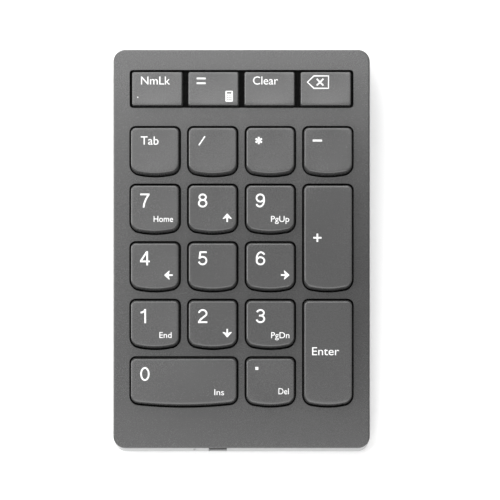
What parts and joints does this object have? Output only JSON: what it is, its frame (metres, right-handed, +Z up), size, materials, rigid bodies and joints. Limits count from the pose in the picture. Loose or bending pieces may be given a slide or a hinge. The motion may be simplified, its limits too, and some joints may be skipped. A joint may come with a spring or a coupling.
{
  "type": "numeric keypad",
  "caption": "Wedge-shaped wireless numeric keypad with scissor keys, a function row, long plus, enter and zero keys and a slide switch in its front edge.",
  "frame": {"origin": "middle of the footprint, on the desk that the rubber feet stand on", "axes": "+X to the column of long keys, +Y towards the function row (far edge), +Z up"},
  "size_m": [0.085, 0.134, 0.0178],
  "materials": {
    "case_grey": "satin grey paint on plastic",
    "shell_silver": "fine-grained light grey plastic",
    "key_grey": "satin grey key plastic",
    "lens_clear": "clear light window",
    "plate_steel": "galvanised sheet steel",
    "sheet_film": "clear polyester film with printed silver",
    "dome_rubber": "translucent silicone rubber",
    "lever_nylon": "moulded natural nylon",
    "wire_steel": "spring steel wire",
    "board_green": "green solder mask",
    "chip_black": "black moulded package",
    "can_metal": "tinned metal can",
    "connector_white": "cream moulded connector",
    "socket_steel": "stainless shell",
    "tape_foam": "black adhesive foam",
    "battery_foil": "foil pouch",
    "lead_red": "PVC insulated leads",
    "switch_black": "black plastic",
    "led_body": "small light emitting diode",
    "pipe_smoke": "smoked clear plastic",
    "cable_white": "flat flexible cable",
    "foot_rubber": "black rubber",
    "screw_steel": "blackened steel"
  },
  "bodies": {
    "case": {"top_cover": "case_grey", "bottom_cover": "shell_silver", "base_plate": "plate_steel", "membrane_top": "sheet_film", "membrane_spacer": "sheet_film", "membrane_bottom": "sheet_film", "rubber_domes": "dome_rubber", "scissor_outer_frames": "lever_nylon", "scissor_inner_frames": "lever_nylon", "num_lock_led": "led_body", "main_board": "board_green", "controller_chip": "chip_black", "crystal": "can_metal", "radio_shield": "can_metal", "battery_connector": "connector_white", "membrane_connector": "connector_white", "usb_c_receptacle": "socket_steel", "battery_tape": "tape_foam", "battery": "battery_foil", "battery_leads": "lead_red", "switch_board": "board_green", "slide_switch_body": "can_metal", "switch_bezel": "switch_black", "status_light_pipe": "pipe_smoke", "status_led": "led_body", "switch_cable": "cable_white", "rubber_feet": "foot_rubber", "case_screws": "screw_steel", "plate_screws": "screw_steel", "board_screws": "screw_steel"},
    "key_num_lock": {"keycap_num_lock": "key_grey", "num_lock_lens": "lens_clear"},
    "key_equals": {"keycap_equals": "key_grey"},
    "key_clear": {"keycap_clear": "key_grey"},
    "key_backspace": {"keycap_backspace": "key_grey"},
    "key_tab": {"keycap_tab": "key_grey"},
    "key_divide": {"keycap_divide": "key_grey"},
    "key_multiply": {"keycap_multiply": "key_grey"},
    "key_minus": {"keycap_minus": "key_grey"},
    "key_7": {"keycap_7": "key_grey"},
    "key_8": {"keycap_8": "key_grey"},
    "key_9": {"keycap_9": "key_grey"},
    "key_plus": {"keycap_plus": "key_grey"},
    "key_4": {"keycap_4": "key_grey"},
    "key_5": {"keycap_5": "key_grey"},
    "key_6": {"keycap_6": "key_grey"},
    "key_1": {"keycap_1": "key_grey"},
    "key_2": {"keycap_2": "key_grey"},
    "key_3": {"keycap_3": "key_grey"},
    "key_enter": {"keycap_enter": "key_grey"},
    "key_0": {"keycap_0": "key_grey"},
    "key_decimal": {"keycap_decimal": "key_grey"},
    "wire_plus": {"stabilizer_wire_plus": "wire_steel"},
    "wire_enter": {"stabilizer_wire_enter": "wire_steel"},
    "wire_0": {"stabilizer_wire_0": "wire_steel"},
    "switch": {"switch_knob": "switch_black"}
  },
  "joints": [
    {"name": "press_num_lock", "type": "slide", "parent": "case", "child": "key_num_lock", "axis": [0, 0.0698, -0.9976], "range_m": [0, 0.0018], "stiffness_N_per_m": 250, "springref_m": -0.0006, "deforming": ["rubber_domes", "scissor_outer_frames", "scissor_inner_frames"]},
    {"name": "press_equals", "type": "slide", "parent": "case", "child": "key_equals", "axis": [0, 0.0698, -0.9976], "range_m": [0, 0.0018], "stiffness_N_per_m": 250, "springref_m": -0.0006, "deforming": ["rubber_domes", "scissor_outer_frames", "scissor_inner_frames"]},
    {"name": "press_clear", "type": "slide", "parent": "case", "child": "key_clear", "axis": [0, 0.0698, -0.9976], "range_m": [0, 0.0018], "stiffness_N_per_m": 250, "springref_m": -0.0006, "deforming": ["rubber_domes", "scissor_outer_frames", "scissor_inner_frames"]},
    {"name": "press_backspace", "type": "slide", "parent": "case", "child": "key_backspace", "axis": [0, 0.0698, -0.9976], "range_m": [0, 0.0018], "stiffness_N_per_m": 250, "springref_m": -0.0006, "deforming": ["rubber_domes", "scissor_outer_frames", "scissor_inner_frames"]},
    {"name": "press_tab", "type": "slide", "parent": "case", "child": "key_tab", "axis": [0, 0.0698, -0.9976], "range_m": [0, 0.0018], "stiffness_N_per_m": 250, "springref_m": -0.0006, "deforming": ["rubber_domes", "scissor_outer_frames", "scissor_inner_frames"]},
    {"name": "press_divide", "type": "slide", "parent": "case", "child": "key_divide", "axis": [0, 0.0698, -0.9976], "range_m": [0, 0.0018], "stiffness_N_per_m": 250, "springref_m": -0.0006, "deforming": ["rubber_domes", "scissor_outer_frames", "scissor_inner_frames"]},
    {"name": "press_multiply", "type": "slide", "parent": "case", "child": "key_multiply", "axis": [0, 0.0698, -0.9976], "range_m": [0, 0.0018], "stiffness_N_per_m": 250, "springref_m": -0.0006, "deforming": ["rubber_domes", "scissor_outer_frames", "scissor_inner_frames"]},
    {"name": "press_minus", "type": "slide", "parent": "case", "child": "key_minus", "axis": [0, 0.0698, -0.9976], "range_m": [0, 0.0018], "stiffness_N_per_m": 250, "springref_m": -0.0006, "deforming": ["rubber_domes", "scissor_outer_frames", "scissor_inner_frames"]},
    {"name": "press_7", "type": "slide", "parent": "case", "child": "key_7", "axis": [0, 0.0698, -0.9976], "range_m": [0, 0.0018], "stiffness_N_per_m": 250, "springref_m": -0.0006, "deforming": ["rubber_domes", "scissor_outer_frames", "scissor_inner_frames"]},
    {"name": "press_8", "type": "slide", "parent": "case", "child": "key_8", "axis": [0, 0.0698, -0.9976], "range_m": [0, 0.0018], "stiffness_N_per_m": 250, "springref_m": -0.0006, "deforming": ["rubber_domes", "scissor_outer_frames", "scissor_inner_frames"]},
    {"name": "press_9", "type": "slide", "parent": "case", "child": "key_9", "axis": [0, 0.0698, -0.9976], "range_m": [0, 0.0018], "stiffness_N_per_m": 250, "springref_m": -0.0006, "deforming": ["rubber_domes", "scissor_outer_frames", "scissor_inner_frames"]},
    {"name": "press_plus", "type": "slide", "parent": "case", "child": "key_plus", "axis": [0, 0.0698, -0.9976], "range_m": [0, 0.0018], "stiffness_N_per_m": 250, "springref_m": -0.0006, "deforming": ["rubber_domes", "scissor_outer_frames", "scissor_inner_frames"]},
    {"name": "press_4", "type": "slide", "parent": "case", "child": "key_4", "axis": [0, 0.0698, -0.9976], "range_m": [0, 0.0018], "stiffness_N_per_m": 250, "springref_m": -0.0006, "deforming": ["rubber_domes", "scissor_outer_frames", "scissor_inner_frames"]},
    {"name": "press_5", "type": "slide", "parent": "case", "child": "key_5", "axis": [0, 0.0698, -0.9976], "range_m": [0, 0.0018], "stiffness_N_per_m": 250, "springref_m": -0.0006, "deforming": ["rubber_domes", "scissor_outer_frames", "scissor_inner_frames"]},
    {"name": "press_6", "type": "slide", "parent": "case", "child": "key_6", "axis": [0, 0.0698, -0.9976], "range_m": [0, 0.0018], "stiffness_N_per_m": 250, "springref_m": -0.0006, "deforming": ["rubber_domes", "scissor_outer_frames", "scissor_inner_frames"]},
    {"name": "press_1", "type": "slide", "parent": "case", "child": "key_1", "axis": [0, 0.0698, -0.9976], "range_m": [0, 0.0018], "stiffness_N_per_m": 250, "springref_m": -0.0006, "deforming": ["rubber_domes", "scissor_outer_frames", "scissor_inner_frames"]},
    {"name": "press_2", "type": "slide", "parent": "case", "child": "key_2", "axis": [0, 0.0698, -0.9976], "range_m": [0, 0.0018], "stiffness_N_per_m": 250, "springref_m": -0.0006, "deforming": ["rubber_domes", "scissor_outer_frames", "scissor_inner_frames"]},
    {"name": "press_3", "type": "slide", "parent": "case", "child": "key_3", "axis": [0, 0.0698, -0.9976], "range_m": [0, 0.0018], "stiffness_N_per_m": 250, "springref_m": -0.0006, "deforming": ["rubber_domes", "scissor_outer_frames", "scissor_inner_frames"]},
    {"name": "press_enter", "type": "slide", "parent": "case", "child": "key_enter", "axis": [0, 0.0698, -0.9976], "range_m": [0, 0.0018], "stiffness_N_per_m": 250, "springref_m": -0.0006, "deforming": ["rubber_domes", "scissor_outer_frames", "scissor_inner_frames"]},
    {"name": "press_0", "type": "slide", "parent": "case", "child": "key_0", "axis": [0, 0.0698, -0.9976], "range_m": [0, 0.0018], "stiffness_N_per_m": 250, "springref_m": -0.0006, "deforming": ["rubber_domes", "scissor_outer_frames", "scissor_inner_frames"]},
    {"name": "press_decimal", "type": "slide", "parent": "case", "child": "key_decimal", "axis": [0, 0.0698, -0.9976], "range_m": [0, 0.0018], "stiffness_N_per_m": 250, "springref_m": -0.0006, "deforming": ["rubber_domes", "scissor_outer_frames", "scissor_inner_frames"]},
    {"name": "tilt_wire_plus", "type": "hinge", "parent": "case", "child": "wire_plus", "pos_m": [0.02937, 0.0039, 0.00936], "axis": [0, 0.9976, 0.0698], "range_deg": [0, 20]},
    {"name": "tilt_wire_enter", "type": "hinge", "parent": "case", "child": "wire_enter", "pos_m": [0.02937, -0.03411, 0.0067], "axis": [0, 0.9976, 0.0698], "range_deg": [0, 20]},
    {"name": "tilt_wire_0", "type": "hinge", "parent": "case", "child": "wire_0", "pos_m": [-0.01905, -0.04281, 0.00609], "axis": [-1, 0, 0], "range_deg": [0, 20]},
    {"name": "slide_switch", "type": "slide", "parent": "case", "child": "switch", "axis": [1, 0, 0], "range_m": [-0.0012, 0.0012]}
  ],
  "couplings": [
    {"joint": "tilt_wire_plus", "follows": "press_plus", "rad_per_m": 192.96},
    {"joint": "tilt_wire_enter", "follows": "press_enter", "rad_per_m": 192.96},
    {"joint": "tilt_wire_0", "follows": "press_0", "rad_per_m": 192.96}
  ]
}
